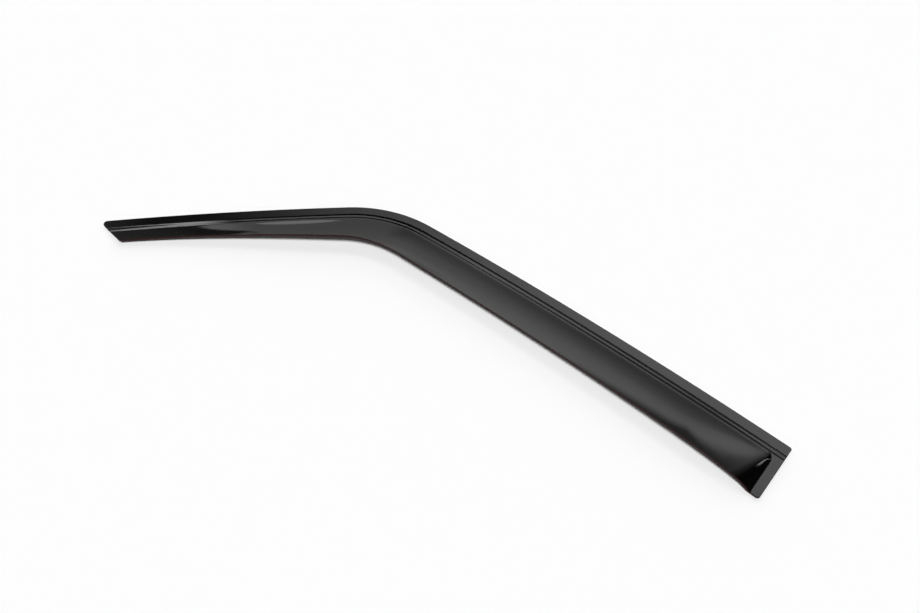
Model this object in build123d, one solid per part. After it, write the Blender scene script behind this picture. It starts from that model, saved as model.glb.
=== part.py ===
"""Stick-on rain deflector for a front side window, left-hand piece.

One acrylic sheet, formed hot and trimmed: a flat flange runs along the window frame from the rear
end over the bend to the front tip, a shallow step follows it from end to end, and a crowned blade
stands away from the glass. The rear end is closed by a dome that runs down to a short end flange,
which the step crosses. Two strips of foam tape behind the flange and the end flange hold it to the
door frame.

Millimetres. X along the roof line with the rear end at +X, Y up to the roof, Z out of the door.
The origin is under the middle of the whole piece, level with the back of the long tape.
"""
from build123d import *
from functools import cache
import math
import os

# Sheet
SHEET = 3.0

# Flange edge along the window frame: three tangent arcs from the rear end to the front tip
ROOF_LENGTH = 550.0
ROOF_RADIUS = 6600.0
BEND_ANGLE = 38.0
BEND_RADIUS = 190.0
PILLAR_LENGTH = 351.0
PILLAR_RADIUS = 4500.0

# Width from the flange edge to the free edge
REAR_WIDTH = 81.0
BEND_WIDTH = 75.0
TIP_WIDTH = 42.0

# Flange, step and crowned blade, which starts a little before the step has run out
FLANGE_WIDTH = 11.5
END_FLANGE_WIDTH = 11.5
STEP_HEIGHT = 1.6
STEP_RUN = 11.5
BLADE_OVERLAP = 2.4
ROOF_RISE = 17.2
BEND_RISE = 18.8
TIP_RISE = 3.6
BLADE_CROWN = 0.2
BLADE_START_BLEND = 2.0
DOME_LENGTH = 120.0
DOME_FOOT = 7.5

# Trimmed outline
TIP_CUT_ANGLE = 7.5
TIP_FLANGE_CORNER = 5.0
TIP_BLADE_CORNER = 2.0
REAR_CORNER = 3.0

# Foam tapes behind the flange and the end flange, and the film of adhesive that holds them there
TAPE_THICKNESS = 1.0
TAPE_MARGIN = 0.75
TIP_TAPE_SETBACK = 16.0
BOND_LINE = 0.005

# Sheet left over around the outline until it is trimmed, and the grid that the skin runs through
TRIM_MARGIN = 4.5
FLAT_LEAD = 4.0
FINE_RUN = 20.0
FINE_STEP = 1.5
POINT_STEP_GROWTH = 0.2
SECTION_STEP_GROWTH = 0.06
COARSE_POINT_STEP = 9.0
COARSE_SECTION_STEP = 20.0
NORMAL_STEP = 0.001

ROOF_ANGLE = math.degrees(ROOF_LENGTH / ROOF_RADIUS)
BEND_LENGTH = BEND_RADIUS * math.radians(BEND_ANGLE)
PILLAR_ANGLE = math.degrees(PILLAR_LENGTH / PILLAR_RADIUS)
FLANGE_LENGTH = ROOF_LENGTH + BEND_LENGTH + PILLAR_LENGTH
BEND_START = ROOF_LENGTH
BEND_END = ROOF_LENGTH + BEND_LENGTH
STEP_END = FLANGE_WIDTH + STEP_RUN
BLADE_START = STEP_END - BLADE_OVERLAP

# The frame of the rear top corner: x runs forward along the edge, y into the sheet. The roof arc's
# chord lies along X, so the edge starts at half the arc's angle to it.
REAR_FRAME = Plane((0, 0, 0), x_dir=Vector(-1, 0).rotate(Axis.Z, -ROOF_ANGLE / 2), z_dir=(0, 0, 1))


def flange_arcs(inset, shortening):
    """The flange edge moved into the sheet by inset, and cut back at the tip by shortening."""
    start = REAR_FRAME.origin + REAR_FRAME.y_dir * inset
    roof = JernArc(start, REAR_FRAME.x_dir, ROOF_RADIUS - inset, ROOF_ANGLE)
    bend = JernArc(roof @ 1, roof % 1, BEND_RADIUS - inset, BEND_ANGLE)
    short_angle = math.degrees(shortening / PILLAR_RADIUS)
    pillar = JernArc(bend @ 1, bend % 1, PILLAR_RADIUS - inset, PILLAR_ANGLE - short_angle)
    return [roof, bend, pillar]


FLANGE_EDGE = Wire(flange_arcs(0, 0))


@cache
def inward_from_edge(along):
    """Point of the flange edge at a distance from the rear end, and the direction into the sheet."""
    on_edge = min(max(along, 0.0), FLANGE_LENGTH)
    heading = FLANGE_EDGE.tangent_at(on_edge, position_mode=PositionMode.LENGTH)
    point = FLANGE_EDGE.position_at(on_edge, position_mode=PositionMode.LENGTH)
    return point + heading * (along - on_edge), heading.rotate(Axis.Z, 90)


def ease(start, end, value):
    """0 before start and 1 after end, with a smooth run between them."""
    t = min(max((value - start) / (end - start), 0.0), 1.0)
    return t * t * (3 - 2 * t)


def sheet_width(along):
    """Width of the trimmed sheet: a slow taper on the roof, then down to the tip."""
    on_roof = min(along / BEND_START, 1.0)
    roof_width = REAR_WIDTH + (BEND_WIDTH - REAR_WIDTH) * on_roof
    return roof_width + (TIP_WIDTH - BEND_WIDTH) * ease(BEND_START, FLANGE_LENGTH, along)


def blade_rise(along):
    """How far the free edge stands above the top of the step."""
    to_bend = (BEND_RISE - ROOF_RISE) * ease(BEND_START - BEND_LENGTH, BEND_END, along)
    to_tip = (TIP_RISE - BEND_RISE) * ease(BEND_END, FLANGE_LENGTH, along)
    return ROOF_RISE + to_bend + to_tip


def step_lift(across):
    """Height of the step, an S-curve from the flange to the foot of the blade."""
    t = min(max((across - FLANGE_WIDTH) / STEP_RUN, 0.0), 1.0)
    return STEP_HEIGHT * t**3 * (10 - 15 * t + 6 * t * t)


def dome_share(depth):
    """Share of the blade's rise at a depth in front of the end flange: a quarter ellipse on a soft foot."""
    t = min(max(depth / DOME_LENGTH, 0.0), 1.0)
    foot = DOME_FOOT / DOME_LENGTH
    run = t**4 / (t**3 + foot**3) * (1 + foot**3)
    return math.sqrt(run * (2 - run))


def crown_share(depth, blade_width):
    """Share of the blade's rise at a depth into the blade: a soft start, then a crowned run to the edge."""
    blend = BLADE_START_BLEND / blade_width
    run = max(depth, 0.0) / blade_width
    run = (math.hypot(run, blend) - blend) / (math.hypot(1, blend) - blend)
    return run * (1 + BLADE_CROWN - BLADE_CROWN * run)


def skin_height(along, across):
    """Height of the outer face above the flange, which lies at zero."""
    crown = crown_share(across - BLADE_START, sheet_width(along) - BLADE_START)
    dome = dome_share(along - END_FLANGE_WIDTH)
    # the dome and the crown meet in a rounded corner, and each takes over where the other is full
    share = crown * dome / (crown + dome - crown * dome) if crown > 0 and dome > 0 else 0.0
    return step_lift(across) + blade_rise(along) * share


def outer_point(along, across):
    """Point of the outer face."""
    point, inward = inward_from_edge(along)
    return point + inward * across + Vector(0, 0, skin_height(along, across))


def inner_point(along, across):
    """Point of the inner face, one sheet thickness straight behind the outer one."""
    forward = outer_point(along + NORMAL_STEP, across) - outer_point(along - NORMAL_STEP, across)
    inward = outer_point(along, across + NORMAL_STEP) - outer_point(along, across - NORMAL_STEP)
    return outer_point(along, across) - forward.cross(inward).normalized() * SHEET


def graded(start, fine_end, end, growth, coarse):
    """Values from start to end: fine steps up to fine_end, then steps that grow to the coarse one."""
    values = [start]
    step = FINE_STEP
    while values[-1] + 2 * step < end:
        values.append(values[-1] + step)
        if values[-1] > fine_end:
            step = min(step + step * growth, coarse)
    return values + [end]


# Places across the sheet where every section has a point; those past the step spread with the width
FLAT_END = FLANGE_WIDTH - FLAT_LEAD
FINE_WIDTH = FLANGE_WIDTH + FINE_RUN
WIDEST = REAR_WIDTH + TRIM_MARGIN
PLACES = graded(FLAT_END, FINE_WIDTH, WIDEST, POINT_STEP_GROWTH, COARSE_POINT_STEP)
KNOTS = [(place - FLAT_END) / (WIDEST - FLAT_END) for place in PLACES]


def section(along):
    """Closed section of the sheet at a distance from the rear end: straight in the flange, then curved."""
    spread = (sheet_width(along) + TRIM_MARGIN - FINE_WIDTH) / (WIDEST - FINE_WIDTH)
    offsets = [place + max(place - FINE_WIDTH, 0.0) * (spread - 1) for place in PLACES]
    outer = [outer_point(along, across) for across in offsets]
    inner = [inner_point(along, across) for across in offsets]
    outer_edge = outer_point(along, -TRIM_MARGIN)
    inner_edge = inner_point(along, -TRIM_MARGIN)
    return Wire([
        Line(outer_edge, outer[0]),
        Edge.make_spline(outer, parameters=KNOTS),
        Line(outer[-1], inner[-1]),
        Edge.make_spline(inner, parameters=KNOTS),
        Line(inner[0], inner_edge),
        Line(inner_edge, outer_edge),
    ])


def formed_sheet():
    """The sheet as it is formed, before trimming."""
    corner_end = END_FLANGE_WIDTH + FINE_RUN
    front_end = FLANGE_LENGTH + TRIM_MARGIN
    stations = graded(-TRIM_MARGIN, corner_end, front_end, SECTION_STEP_GROWTH, COARSE_SECTION_STEP)
    return Solid.make_loft([section(along) for along in stations])


def free_edge():
    """The trimmed free edge in plan, from the rear end past the tip."""
    points = []
    count = math.ceil(FLANGE_LENGTH / COARSE_SECTION_STEP)
    for i in range(count + 1):
        along = FLANGE_LENGTH * i / count
        point, inward = inward_from_edge(along)
        points.append(point + inward * sheet_width(along))
    return Spline(points)


def trim_block():
    """The trimmed outline as an upright block, taller than the formed sheet."""
    edge = flange_arcs(0, 0)
    free = free_edge()
    plan = make_face(edge + [Line(edge[-1] @ 1, free @ 1), free, Line(free @ 0, edge[0] @ 0)])
    tip = Plane(edge[-1] @ 1, x_dir=Vector(1, 0).rotate(Axis.Z, -TIP_CUT_ANGLE), z_dir=(0, 0, 1))
    plan -= tip * Rectangle(2 * FLANGE_LENGTH, FLANGE_LENGTH, align=(Align.CENTER, Align.MAX))
    height = 2 * (STEP_HEIGHT + max(ROOF_RISE, BEND_RISE) + SHEET)
    block = extrude(Pos(0, 0, -height / 2) * plan, height)
    corners = [
        (edge[-1] @ 1, TIP_FLANGE_CORNER),
        (plan.vertices().sort_by(Axis.Y)[0].center(), TIP_BLADE_CORNER),
        (edge[0] @ 0, REAR_CORNER),
        (free @ 0, REAR_CORNER),
    ]
    for place, radius in corners:
        upright = block.edges().filter_by(Axis.Z).sort_by_distance(Vertex(place))[0]
        block = fillet(upright, radius)
    return block


def flange_tape():
    """The long strip along the flange, from the rear end to just short of the tip."""
    outside = flange_arcs(TAPE_MARGIN, TIP_TAPE_SETBACK)
    inside = flange_arcs(FLANGE_WIDTH - TAPE_MARGIN, TIP_TAPE_SETBACK)
    rear = Line(inside[0] @ 0, outside[0] @ 0)
    front = Line(outside[-1] @ 1, inside[-1] @ 1)
    plan = make_face(outside + [front] + inside + [rear])
    plan &= REAR_FRAME * Pos(TAPE_MARGIN, 0) * Rectangle(
        2 * FLANGE_LENGTH, 2 * FLANGE_LENGTH, align=(Align.MIN, Align.CENTER))
    return extrude(Pos(0, 0, -SHEET - BOND_LINE) * plan, -TAPE_THICKNESS)


def end_tape():
    """The short strip down the end flange, behind the part that the step has raised."""
    start = STEP_END + TAPE_MARGIN
    length = REAR_WIDTH - REAR_CORNER - start
    width = END_FLANGE_WIDTH - 2 * TAPE_MARGIN
    plan = REAR_FRAME * Pos(TAPE_MARGIN, start) * Rectangle(width, length, align=Align.MIN)
    return extrude(Pos(0, 0, STEP_HEIGHT - SHEET - BOND_LINE) * plan, -TAPE_THICKNESS)


parts = {
    "deflector_blade": formed_sheet() & trim_block(),
    "flange_tape": flange_tape(),
    "end_tape": end_tape(),
}
box = Compound(list(parts.values())).bounding_box()
placing = Pos(-box.center().X, -box.center().Y, -box.min.Z)

os.makedirs("parts", exist_ok=True)
for name, part in parts.items():
    export_step(placing * part, f"parts/{name}.step")
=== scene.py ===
import math

import bpy
import numpy as np
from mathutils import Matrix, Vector


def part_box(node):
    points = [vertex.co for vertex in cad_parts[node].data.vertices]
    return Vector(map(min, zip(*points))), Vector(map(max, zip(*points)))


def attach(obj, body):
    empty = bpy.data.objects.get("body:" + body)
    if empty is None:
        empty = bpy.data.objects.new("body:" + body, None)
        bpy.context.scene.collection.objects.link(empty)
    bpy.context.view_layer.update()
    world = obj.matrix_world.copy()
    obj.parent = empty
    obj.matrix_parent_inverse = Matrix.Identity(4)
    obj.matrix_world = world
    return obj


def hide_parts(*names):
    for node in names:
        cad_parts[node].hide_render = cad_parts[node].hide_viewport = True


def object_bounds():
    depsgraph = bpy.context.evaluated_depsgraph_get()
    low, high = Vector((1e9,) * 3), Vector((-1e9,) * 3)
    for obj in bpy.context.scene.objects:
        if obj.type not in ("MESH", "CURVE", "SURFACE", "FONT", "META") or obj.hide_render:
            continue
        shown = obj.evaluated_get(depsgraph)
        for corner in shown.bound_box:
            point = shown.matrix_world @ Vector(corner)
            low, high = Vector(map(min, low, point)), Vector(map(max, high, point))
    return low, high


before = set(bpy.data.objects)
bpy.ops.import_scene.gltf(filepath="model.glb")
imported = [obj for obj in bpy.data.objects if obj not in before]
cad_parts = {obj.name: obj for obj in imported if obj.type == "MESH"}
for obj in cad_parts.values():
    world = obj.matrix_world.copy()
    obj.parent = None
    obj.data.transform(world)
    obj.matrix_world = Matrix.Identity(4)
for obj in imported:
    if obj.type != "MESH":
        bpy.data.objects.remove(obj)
cad_low, cad_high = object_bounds()

# Deflector blade: one 3 mm sheet of smoked acrylic, formed hot over a mould and trimmed afterwards.
# A flat flange follows the window frame, a small step lifts the sheet off it, and the crowned blade
# stands away from the glass, narrows to the front tip and closes in a dome at the rear end.
SHEET = 0.003
ROOF_LENGTH, ROOF_RADIUS = 0.550, 6.600
BEND_ANGLE, BEND_RADIUS = math.radians(38), 0.190
PILLAR_LENGTH, PILLAR_RADIUS = 0.3506, 4.500
REAR_WIDTH, BEND_WIDTH, TIP_WIDTH = 0.081, 0.075, 0.042
FLANGE_WIDTH, END_FLANGE_WIDTH = 0.0115, 0.0115
STEP_HEIGHT, STEP_RUN = 0.0016, 0.0115
BLADE_START, BLADE_START_BLEND, BLADE_CROWN = 0.0206, 0.002, 0.2
ROOF_RISE, BEND_RISE, TIP_RISE = 0.0172, 0.0188, 0.0036
DOME_LENGTH, DOME_FOOT, DOME_CORNER = 0.120, 0.0075, 0.012
TIP_CUT_ANGLE = math.radians(7.5)
TIP_FLANGE_CORNER, TIP_BLADE_CORNER, REAR_CORNER = 0.005, 0.0022, 0.003
EDGE_BREAK = 0.0004

ROOF_ANGLE = ROOF_LENGTH / ROOF_RADIUS
BEND_LENGTH = BEND_RADIUS * BEND_ANGLE
BEND_END = ROOF_LENGTH + BEND_LENGTH
FLANGE_LENGTH = BEND_END + PILLAR_LENGTH
TIP_ANGLE = ROOF_ANGLE / 2 + BEND_ANGLE + PILLAR_LENGTH / PILLAR_RADIUS + TIP_CUT_ANGLE


def ease(start, end, value):
    t = np.clip((value - start) / (end - start), 0, 1)
    return t * t * (3 - 2 * t)


def sheet_width(along):
    on_roof = np.minimum(along / ROOF_LENGTH, 1)
    roof_width = REAR_WIDTH + (BEND_WIDTH - REAR_WIDTH) * on_roof
    return roof_width + (TIP_WIDTH - BEND_WIDTH) * ease(ROOF_LENGTH, FLANGE_LENGTH, along)


# How far a rounded corner stands back, at a distance from the side it runs into.
def corner_setback(distance, radius):
    share = np.clip(1 - distance / radius, 0, 1)
    return radius * (1 - np.sqrt(1 - share**2))


# The outer face above the flange: the step, the crowned blade and the dome that closes it.
def skin_height(along, across):
    t = np.clip((across - FLANGE_WIDTH) / STEP_RUN, 0, 1)
    step = STEP_HEIGHT * t**3 * (10 - 15 * t + 6 * t * t)

    to_bend = (BEND_RISE - ROOF_RISE) * ease(ROOF_LENGTH - BEND_LENGTH, BEND_END, along)
    to_tip = (TIP_RISE - BEND_RISE) * ease(BEND_END, FLANGE_LENGTH, along)
    rise = ROOF_RISE + to_bend + to_tip

    blade_width = sheet_width(along) - BLADE_START
    blend = BLADE_START_BLEND / blade_width
    run = np.hypot(np.maximum(across - BLADE_START, 0) / blade_width, blend) - blend
    run /= np.hypot(1, blend) - blend
    crown = run * (1 + BLADE_CROWN - BLADE_CROWN * run)

    corner = corner_setback(across - BLADE_START, DOME_CORNER)
    inside = np.clip((along - END_FLANGE_WIDTH - corner) / DOME_LENGTH, 0, 1)
    foot = (DOME_FOOT / DOME_LENGTH) ** 3
    run = inside**4 / (inside**3 + foot) * (1 + foot)
    dome = np.sqrt(run * (2 - run))

    nearly_flat = 1e-9
    share = crown * dome / np.maximum(crown + dome - crown * dome, nearly_flat)
    return step + rise * share


# The place of a point in plan: the roof line, the bend and the pillar are three arcs in a row.
def plan_place(along, across):
    x, y, heading = 0.0, 0.0, -ROOF_ANGLE / 2
    start = 0.0
    for length, radius in (
        (ROOF_LENGTH, ROOF_RADIUS), (BEND_LENGTH, BEND_RADIUS), (PILLAR_LENGTH, PILLAR_RADIUS)):
        turned = heading + np.clip(along - start, 0, length) / radius
        x = x - radius * (np.sin(turned) - np.sin(heading))
        y = y + radius * (np.cos(turned) - np.cos(heading))
        heading = turned
        start += length
    return x + across * np.sin(heading), y - across * np.cos(heading)


# A flat grid is laid out along the flange edge, closer where the sheet bends, and trimmed to the
# rounded rear corners and the slanting front cut. The shares say how many columns lie that far in.
ROWS, COLUMNS = 520, 76
RIM_RUN, FINE_RUN = 0.003, 0.020
RIM_SHARE, FLANGE_SHARE, FINE_SHARE, LOW_SHARE = 0.10, 0.28, 0.62, 0.93
bpy.ops.object.select_all(action="DESELECT")
bpy.ops.mesh.primitive_grid_add(x_subdivisions=ROWS, y_subdivisions=COLUMNS, size=1)
blade = bpy.context.object
blade.name = blade.data.name = "smoked_blade"
flat = np.zeros(len(blade.data.vertices) * 3)
blade.data.vertices.foreach_get("co", flat)
forward, inward = flat.reshape(-1, 3)[:, 0] + 0.5, flat.reshape(-1, 3)[:, 1] + 0.5

fine_width = FLANGE_WIDTH + FINE_RUN
low_start = REAR_WIDTH - REAR_CORNER
across = np.interp(
    inward,
    [0, RIM_SHARE, FLANGE_SHARE, FINE_SHARE, LOW_SHARE, 1],
    [0, RIM_RUN, FLANGE_WIDTH, fine_width, low_start, REAR_WIDTH])
rim_turn = inward / RIM_SHARE * math.pi / 2
across = np.where(inward < RIM_SHARE, RIM_RUN * (1 - np.cos(rim_turn)), across)
low_turn = (inward - LOW_SHARE) / (1 - LOW_SHARE) * math.pi / 2
across = np.where(inward > LOW_SHARE, low_start + REAR_CORNER * np.sin(low_turn), across)

rear_end = corner_setback(np.minimum(across, REAR_WIDTH - across), REAR_CORNER)
tip_width = TIP_WIDTH
for _ in range(3):
    tip_width = sheet_width(FLANGE_LENGTH - tip_width / math.tan(TIP_ANGLE))
tip_spread = (tip_width - fine_width) / (REAR_WIDTH - fine_width)
tip_across = np.where(across < fine_width, across, fine_width + (across - fine_width) * tip_spread)
cut_turn = np.arccos(PILLAR_RADIUS * math.cos(TIP_ANGLE) / (PILLAR_RADIUS - tip_across))
tip_end = FLANGE_LENGTH - PILLAR_RADIUS * (TIP_ANGLE - cut_turn)
flange_arc_end = TIP_FLANGE_CORNER * (1 + math.cos(TIP_ANGLE))
blade_arc_start = tip_width - TIP_BLADE_CORNER * (1 - math.cos(TIP_ANGLE))
for middle, radius, rounded in (
    (TIP_FLANGE_CORNER, TIP_FLANGE_CORNER, tip_across < flange_arc_end),
    (tip_width - TIP_BLADE_CORNER, TIP_BLADE_CORNER, tip_across > blade_arc_start),
):
    centre = FLANGE_LENGTH - middle / math.tan(TIP_ANGLE) - radius / math.sin(TIP_ANGLE)
    arc = centre + np.sqrt(np.clip(radius**2 - (tip_across - middle) ** 2, 0, None))
    tip_end = np.where(rounded, arc, tip_end)
row_places = np.interp(forward, [0, 0.16, 0.30, 0.97, 1], [0, 0.045, 0.13, 0.985, 1])
along = rear_end + (tip_end - rear_end) * row_places
spread = (sheet_width(along) - fine_width) / (REAR_WIDTH - fine_width)
across = np.where(across < fine_width, across, fine_width + (across - fine_width) * spread)

x, y = plan_place(along, across)
x += cad_high[0] - x.max()
y += cad_high[1] - y.max()
tape_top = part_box("flange_tape")[1].z
shaped = np.stack([x, y, skin_height(along, across) + tape_top + SHEET], axis=1)
blade.data.vertices.foreach_set("co", shaped.ravel())
blade.data.update()


# A new finish with its shader, and the nodes and links that build it.
def new_finish(name):
    finish = bpy.data.materials.new(name)
    finish.use_nodes = True
    nodes = finish.node_tree.nodes
    return finish, nodes, finish.node_tree.links, nodes["Principled BSDF"]


# Soft marks all over a piece.
def marks(nodes, links, scale, detail):
    place = nodes.new("ShaderNodeTexCoord")
    noise = nodes.new("ShaderNodeTexNoise")
    noise.inputs["Scale"].default_value = scale
    noise.inputs["Detail"].default_value = detail
    links.new(place.outputs["Object"], noise.inputs["Vector"])
    return noise.outputs["Fac"]


# Two tones of one colour, mixed by marks.
def two_tones(nodes, links, mix, dark, light):
    tones = nodes.new("ShaderNodeValToRGB")
    tones.color_ramp.elements[0].color = dark
    tones.color_ramp.elements[1].color = light
    links.new(mix, tones.inputs["Fac"])
    return tones.outputs["Color"]


# A shallow relief that follows marks.
def relief(nodes, links, height, strength, depth):
    bump = nodes.new("ShaderNodeBump")
    bump.inputs["Strength"].default_value = strength
    bump.inputs["Distance"].default_value = depth
    links.new(height, bump.inputs["Height"])
    return bump.outputs["Normal"]


# The faces are polished, with faint smears and the slight waves of a formed sheet.
acrylic, nodes, links, shader = new_finish("smoked acrylic")
shader.inputs["Base Color"].default_value = (0.016, 0.009, 0.0075, 1)
shader.inputs["Transmission Weight"].default_value = 1
shader.inputs["IOR"].default_value = 1.49
polish = nodes.new("ShaderNodeMapRange")
polish.inputs["From Min"].default_value = 0.35
polish.inputs["From Max"].default_value = 0.75
polish.inputs["To Min"].default_value = 0.03
polish.inputs["To Max"].default_value = 0.075
links.new(marks(nodes, links, scale=28, detail=5), polish.inputs["Value"])
links.new(polish.outputs["Result"], shader.inputs["Roughness"])
waves = relief(nodes, links, marks(nodes, links, scale=45, detail=2), strength=0.02, depth=0.001)
links.new(waves, shader.inputs["Normal"])

# The trimmed edges are matte, and show the brown of the tint.
trimmed, nodes, links, shader = new_finish("trimmed edge")
shader.inputs["Roughness"].default_value = 0.55
shader.inputs["IOR"].default_value = 1.15
scrapes = marks(nodes, links, scale=350, detail=4)
browns = two_tones(nodes, links, scrapes, (0.020, 0.0062, 0.0068, 1), (0.034, 0.0108, 0.0115, 1))
links.new(browns, shader.inputs["Base Color"])

TRIMMED_SLOT = 1
blade.data.materials.append(acrylic)
blade.data.materials.append(trimmed)

# The grid gets the sheet's thickness towards the door, and its trimmed edges are lightly broken.
bpy.ops.object.mode_set(mode="EDIT")
bpy.ops.mesh.select_all(action="SELECT")
bpy.ops.mesh.normals_make_consistent(inside=False)
bpy.ops.object.mode_set(mode="OBJECT")
if blade.data.polygons[0].normal.z < 0:
    blade.data.flip_normals()
slant = np.zeros(len(shaped) * 3)
blade.data.vertices.foreach_get("normal", slant)
thickness = blade.modifiers.new("sheet", "SOLIDIFY")
thickness.thickness = SHEET
thickness.offset = -1
thickness.material_offset_rim = TRIMMED_SLOT
bpy.ops.object.modifier_apply(modifier=thickness.name)
behind = shaped.copy()
behind[:, 2] -= SHEET / slant[2::3]
blade.data.vertices.foreach_set("co", np.concatenate([shaped, behind]).ravel())
blade.data.update()
edges = blade.modifiers.new("broken edges", "BEVEL")
edges.width = EDGE_BREAK
edges.segments = 3
edges.material = TRIMMED_SLOT
edges.limit_method = "ANGLE"
edges.angle_limit = math.radians(55)
bpy.ops.object.modifier_apply(modifier=edges.name)
bpy.ops.object.shade_smooth()

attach(blade, "root")
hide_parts("deflector_blade")

# Foam tapes: two strips of dark grey acrylic foam on the backs of the flange and of the end flange.
# The strips are die-cut, so they keep their plain outline and show only the foam's fine cells.
foam, nodes, links, shader = new_finish("acrylic foam")
shader.inputs["Roughness"].default_value = 0.85
place = nodes.new("ShaderNodeTexCoord")
cells = nodes.new("ShaderNodeTexVoronoi")
cells.inputs["Scale"].default_value = 2600
links.new(place.outputs["Object"], cells.inputs["Vector"])
cells = cells.outputs["Distance"]
greys = two_tones(nodes, links, cells, (0.035, 0.035, 0.038, 1), (0.062, 0.062, 0.066, 1))
links.new(greys, shader.inputs["Base Color"])
pores = relief(nodes, links, cells, strength=0.35, depth=0.0002)
links.new(pores, shader.inputs["Normal"])
for name in ("flange_tape", "end_tape"):
    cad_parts[name].data.materials.clear()
    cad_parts[name].data.materials.append(foam)

# Studio: a pale floor under the tapes, lit by a front lamp. A wide softbox above and behind the part,
# a few small lamps and a dim room, whose far wall brightens upwards, make the reflections.
FLOOR_SIZE = 60
bpy.ops.object.select_all(action="DESELECT")
bpy.ops.mesh.primitive_plane_add(size=FLOOR_SIZE, location=(0, 0, 0))
floor = bpy.context.object
floor.name = "floor"
pale, nodes, links, shader = new_finish("pale floor")
shader.inputs["Base Color"].default_value = (0.94, 0.94, 0.94, 1)
shader.inputs["Roughness"].default_value = 1
shader.inputs["Specular IOR Level"].default_value = 0
floor.data.materials.append(pale)

# Directions as the camera sees them. The front lamp lights the floor and isn't mirrored in the sheet.
RIGHT = Vector((0.786, 0.618, 0)).normalized()
AWAY = Vector((-RIGHT.y, RIGHT.x, 0))
UP = Vector((0, 0, 1))
LAMP_AIM = AWAY * 0.43 - UP * 0.903
lamp = bpy.data.lights.new("front lamp", "SUN")
lamp.angle = math.radians(12)
lamp.energy = 2.74
light = bpy.data.objects.new("front lamp", lamp)
bpy.context.scene.collection.objects.link(light)
light.visible_glossy = False
light.rotation_euler = LAMP_AIM.to_track_quat("-Z", "Y").to_euler()

world = bpy.data.worlds.new("studio room")
bpy.context.scene.world = world
world.use_nodes = True
nodes, links = world.node_tree.nodes, world.node_tree.links
sight = nodes.new("ShaderNodeTexCoord")


# How far a line of sight reaches in a direction: 1 straight along it, -1 straight against it.
def reach(direction):
    part = nodes.new("ShaderNodeVectorMath")
    part.operation = "DOT_PRODUCT"
    part.inputs[1].default_value = direction
    links.new(sight.outputs["Generated"], part.inputs[0])
    return part.outputs["Value"]


# A share from 0 to 1 that changes with the reach. Stops are pairs of a reach and its share.
def shade(value, stops):
    scaled = nodes.new("ShaderNodeMapRange")
    scaled.inputs["From Min"].default_value = -1
    links.new(value, scaled.inputs["Value"])
    ramp = nodes.new("ShaderNodeValToRGB")
    elements = ramp.color_ramp.elements
    elements[0].position, elements[1].position = (stops[0][0] + 1) / 2, (stops[-1][0] + 1) / 2
    for place, _ in stops[1:-1]:
        elements.new((place + 1) / 2)
    for element, (_, share) in zip(elements, stops):
        element.color = (share, share, share, 1)
    links.new(scaled.outputs["Result"], ramp.inputs["Fac"])
    return ramp.outputs["Color"]


# A brightness that changes with the reach, as a share of the brightest lamp.
BRIGHTEST = 4


def glow(value, stops):
    return shade(value, [(place, level / BRIGHTEST) for place, level in stops])


# Several values joined by one kind of arithmetic.
def joined(operation, first, *others):
    for other in others:
        node = nodes.new("ShaderNodeMath")
        node.operation = operation
        links.new(first, node.inputs[0])
        if isinstance(other, (int, float)):
            node.inputs[1].default_value = other
        else:
            links.new(other, node.inputs[1])
        first = node.outputs["Value"]
    return first


nodes["Background"].inputs["Color"].default_value = (1, 1, 1, 1)
ahead, aside, up = reach(AWAY), reach(RIGHT), reach(UP)

# The softbox fades out at both sides and ends in a slanting lower edge.
softbox = joined(
    "MULTIPLY",
    glow(aside, (
        (-0.42, 0.2), (-0.36, 0.04), (-0.30, 0.08), (-0.24, 0.3), (-0.16, 0.75), (-0.08, 1.2),
        (0.05, 1.7), (0.3, 1.65), (0.45, 1.7), (0.55, 0.9), (0.7, 0.15))),
    shade(reach((AWAY + RIGHT * 0.58 - UP * 0.836) / 2), ((-0.006, 1), (0.012, 0))),
    shade(ahead, ((0.27, 0), (0.35, 1))))

# The far wall brightens upwards. It ends at both sides and in slanting upper edges on the left and
# on the right, and a screen dims its foot on the right.
behind_part = shade(ahead, ((0.2, 0), (0.42, 1)))
wall_ends = shade(aside, (
    (-0.30, 0.03), (-0.28, 1), (0.575, 1), (0.60, 0.55), (0.64, 0.275), (0.69, 0.225),
    (0.73, 0.0125)))
wall_left = joined(
    "MAXIMUM",
    shade(reach((UP - RIGHT * 0.2) / 2), ((0.207, 1), (0.219, 0.0125))),
    shade(aside, ((0.06, 0), (0.2, 1))))
wall_right = joined(
    "MAXIMUM",
    shade(reach((UP + RIGHT * 0.15) / 2), ((0.284, 1), (0.304, 0.175))),
    shade(reach((UP - RIGHT * 2.2) / 3), ((-0.220, 1), (-0.200, 0))))
screen = joined(
    "MAXIMUM",
    shade(reach((UP - RIGHT * 0.33) / 2), ((0.095, 0.575), (0.14, 1))),
    shade(aside, ((0.05, 1), (0.2, 0))))
wall = joined(
    "MULTIPLY",
    glow(reach(UP - RIGHT * 0.11), (
        (-0.1, 0.30), (0.0, 0.35), (0.1, 0.43), (0.2, 0.58), (0.3, 0.80), (0.36, 1.0),
        (0.41, 1.4), (0.47, 1.7))),
    wall_ends, behind_part, screen, wall_left, wall_right)

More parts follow.
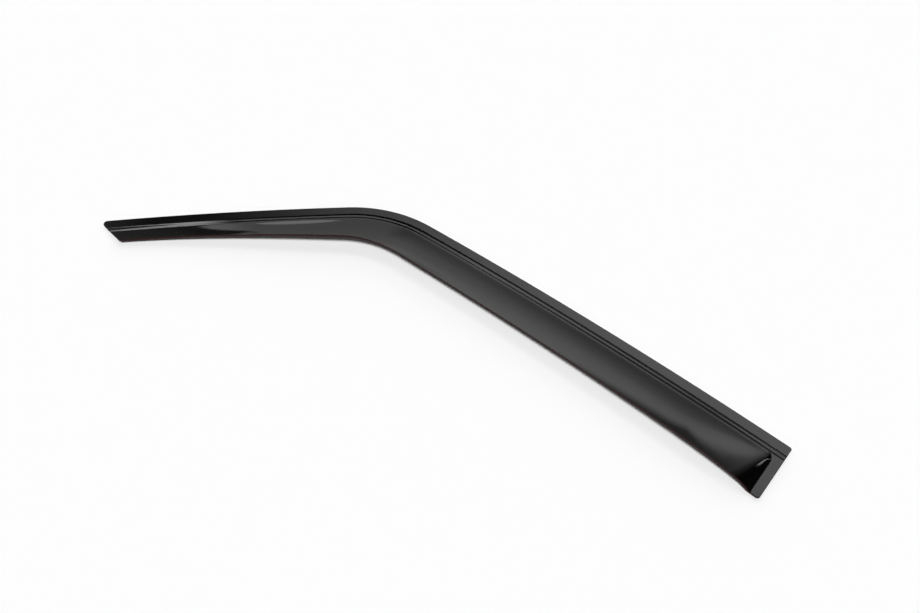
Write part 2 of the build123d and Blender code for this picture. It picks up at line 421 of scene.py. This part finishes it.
# On the left stand a low panel, a bright strip lamp and a dim corner.
panel = joined(
    "MULTIPLY",
    glow(up, ((-0.1, 0.4), (0.0, 0.8), (0.13, 0.9), (0.15, 0))),
    shade(aside, ((-0.345, 0), (-0.335, 1), (-0.30, 0.65), (-0.28, 0))),
    behind_part)
strip = joined(
    "MULTIPLY",
    glow(aside, ((-0.33, 3.1), (-0.29, 0))),
    shade(up, ((0.50, 1), (0.54, 0))),
    shade(reach((UP + RIGHT * 2.5) / 3), ((-0.195, 0), (-0.182, 1))),
    behind_part)
dim_corner = joined(
    "MULTIPLY",
    glow(aside, ((-0.44, 0.26), (-0.40, 0.10), (-0.36, 0.02), (-0.26, 0))),
    behind_part)

# A short tube lamp on the right makes the small bright arc on the dome.
tube = joined(
    "MULTIPLY",
    glow(reach(RIGHT * 0.307 + AWAY * 0.707 - UP * 0.638), (
        (-0.055, 0), (-0.042, 4), (-0.030, 4), (-0.018, 0))),
    shade(aside, ((0.73, 0), (0.76, 1), (0.82, 1), (0.85, 0))))

# The near side of the room is dim, and a little light comes from everywhere.
ROOM_LIGHT = 0.032
near_side = glow(ahead, ((-0.35, 0.12), (-0.15, 0)))
total = joined(
    "ADD", softbox, wall, panel, strip, dim_corner, tube, near_side, ROOM_LIGHT / BRIGHTEST)
links.new(joined("MULTIPLY", total, BRIGHTEST), nodes["Background"].inputs["Strength"])

# Camera: above the front edge, looking down along the part towards its front tip.
SENSOR_WIDTH = 36
PICTURE_WIDTH, FOCAL_DISTANCE = 920, 803
lens = bpy.data.cameras.new("camera")
lens.sensor_width = SENSOR_WIDTH
lens.lens = FOCAL_DISTANCE / PICTURE_WIDTH * SENSOR_WIDTH
lens.shift_y = -0.00065
camera = bpy.data.objects.new("camera", lens)
bpy.context.scene.collection.objects.link(camera)
camera.location = (0.3988, -0.4115, 0.8726)
camera.rotation_euler = Vector((-0.352, 0.447, -0.822)).to_track_quat("-Z", "Y").to_euler()
bpy.context.scene.camera = camera
bpy.context.scene.view_settings.view_transform = "Standard"
